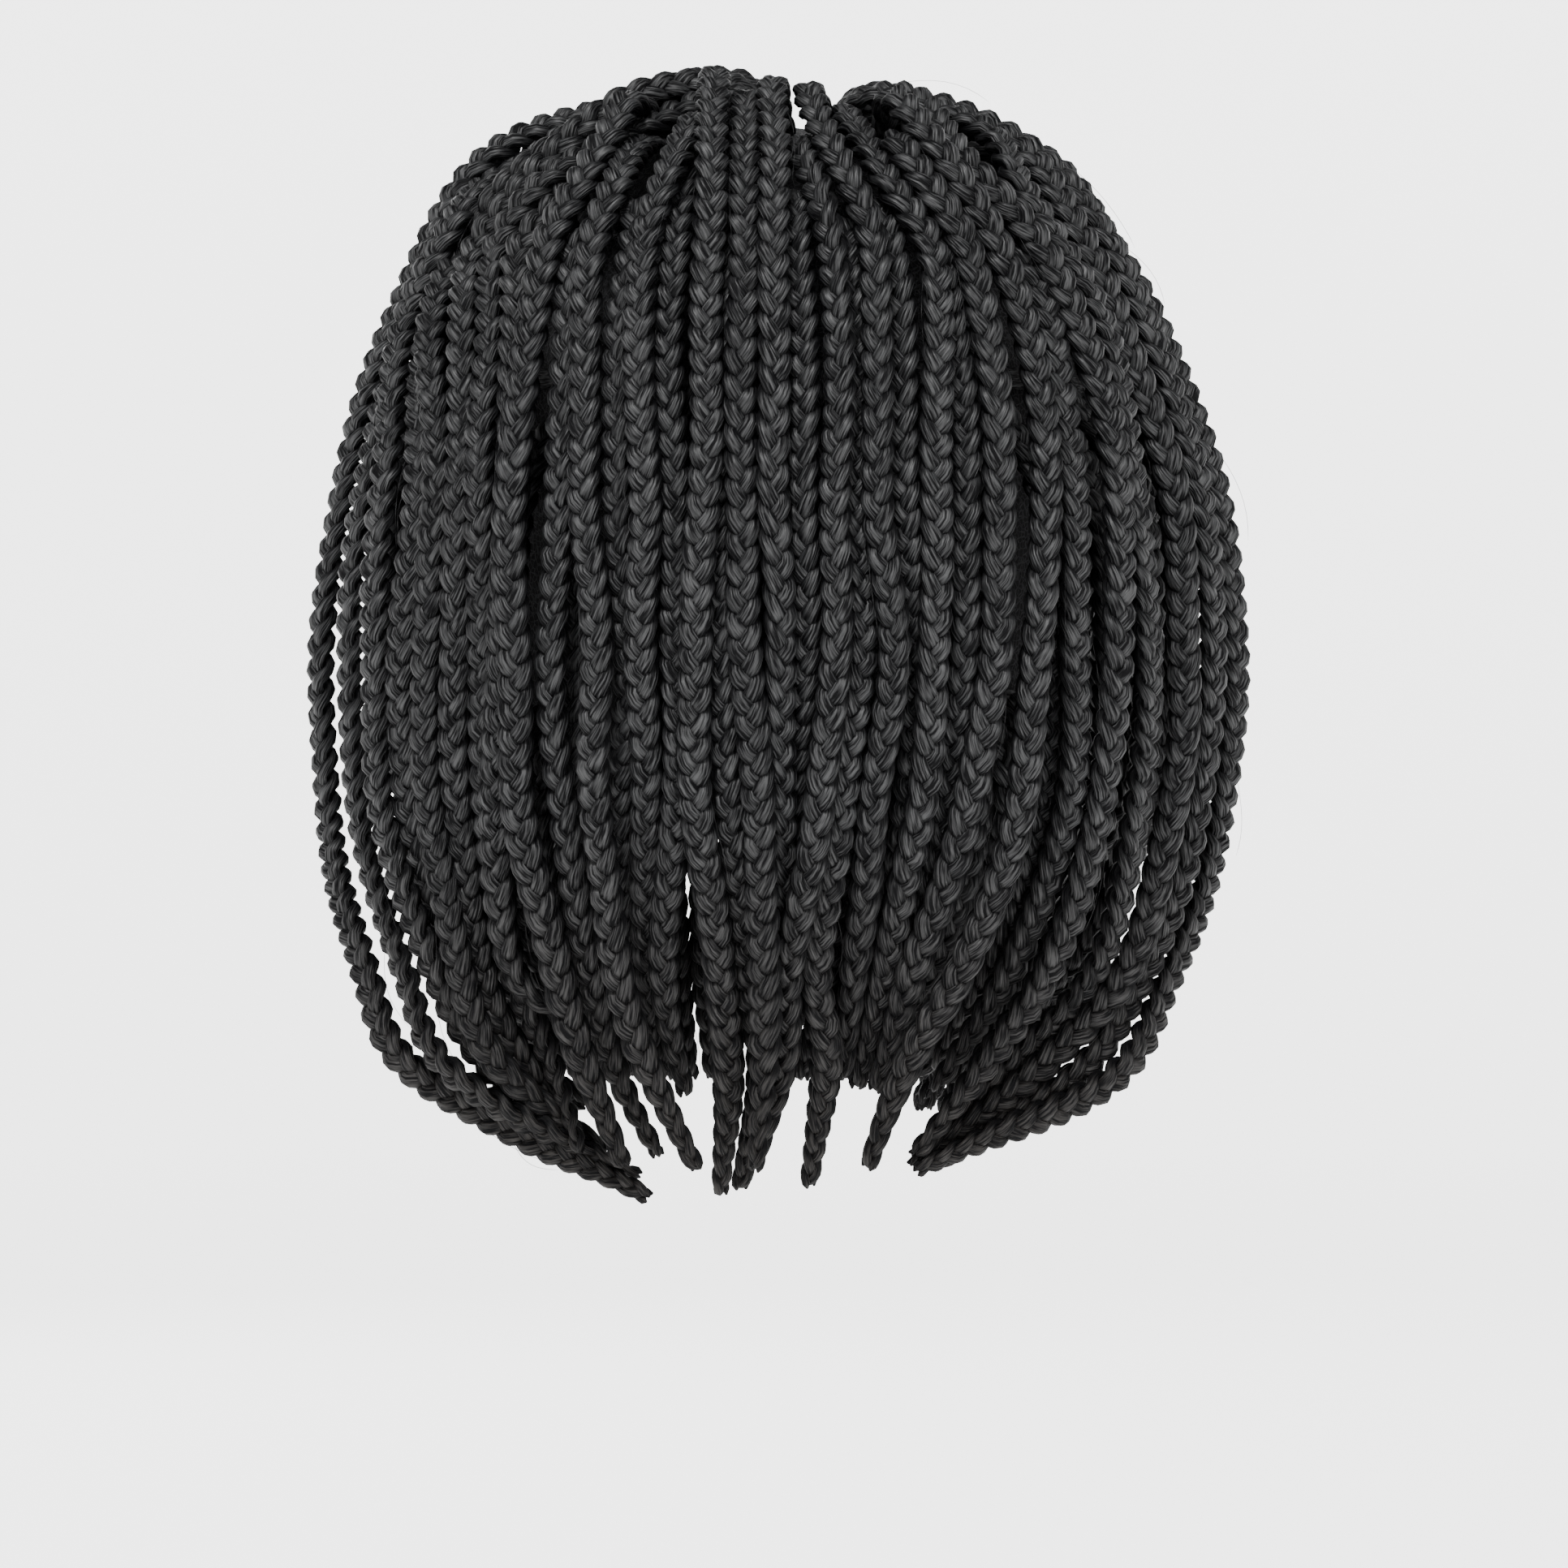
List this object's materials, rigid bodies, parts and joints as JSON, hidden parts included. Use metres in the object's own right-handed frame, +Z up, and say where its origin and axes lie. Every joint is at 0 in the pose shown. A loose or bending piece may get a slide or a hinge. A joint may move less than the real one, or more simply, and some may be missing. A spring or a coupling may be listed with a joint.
{
  "type": "braid wig",
  "caption": "Bob wig of flat black box braids that hang from a shaped net cap, open below for the head.",
  "frame": {"origin": "the top of the head, on the inner face of the cap", "axes": "+Z up along the wearer, the face opening along -Y, the back of the wig along +Y, the wearer's left along +X"},
  "size_m": [0.2319, 0.2149, 0.2781],
  "materials": {
    "braided_hair": "black synthetic fibre with a soft sheen",
    "cap_net": "matte black net"
  },
  "bodies": {
    "root": {"cap": "cap_net", "first_row_left_front": "braided_hair", "first_row_left_side": "braided_hair", "first_row_left_back": "braided_hair", "first_row_right_back": "braided_hair", "first_row_right_side": "braided_hair", "first_row_right_front": "braided_hair", "second_row_left": "braided_hair", "second_row_back": "braided_hair", "second_row_right": "braided_hair", "inner_row_left": "braided_hair", "inner_row_back": "braided_hair", "inner_row_right": "braided_hair", "nape_row": "braided_hair"}
  },
  "joints": []
}
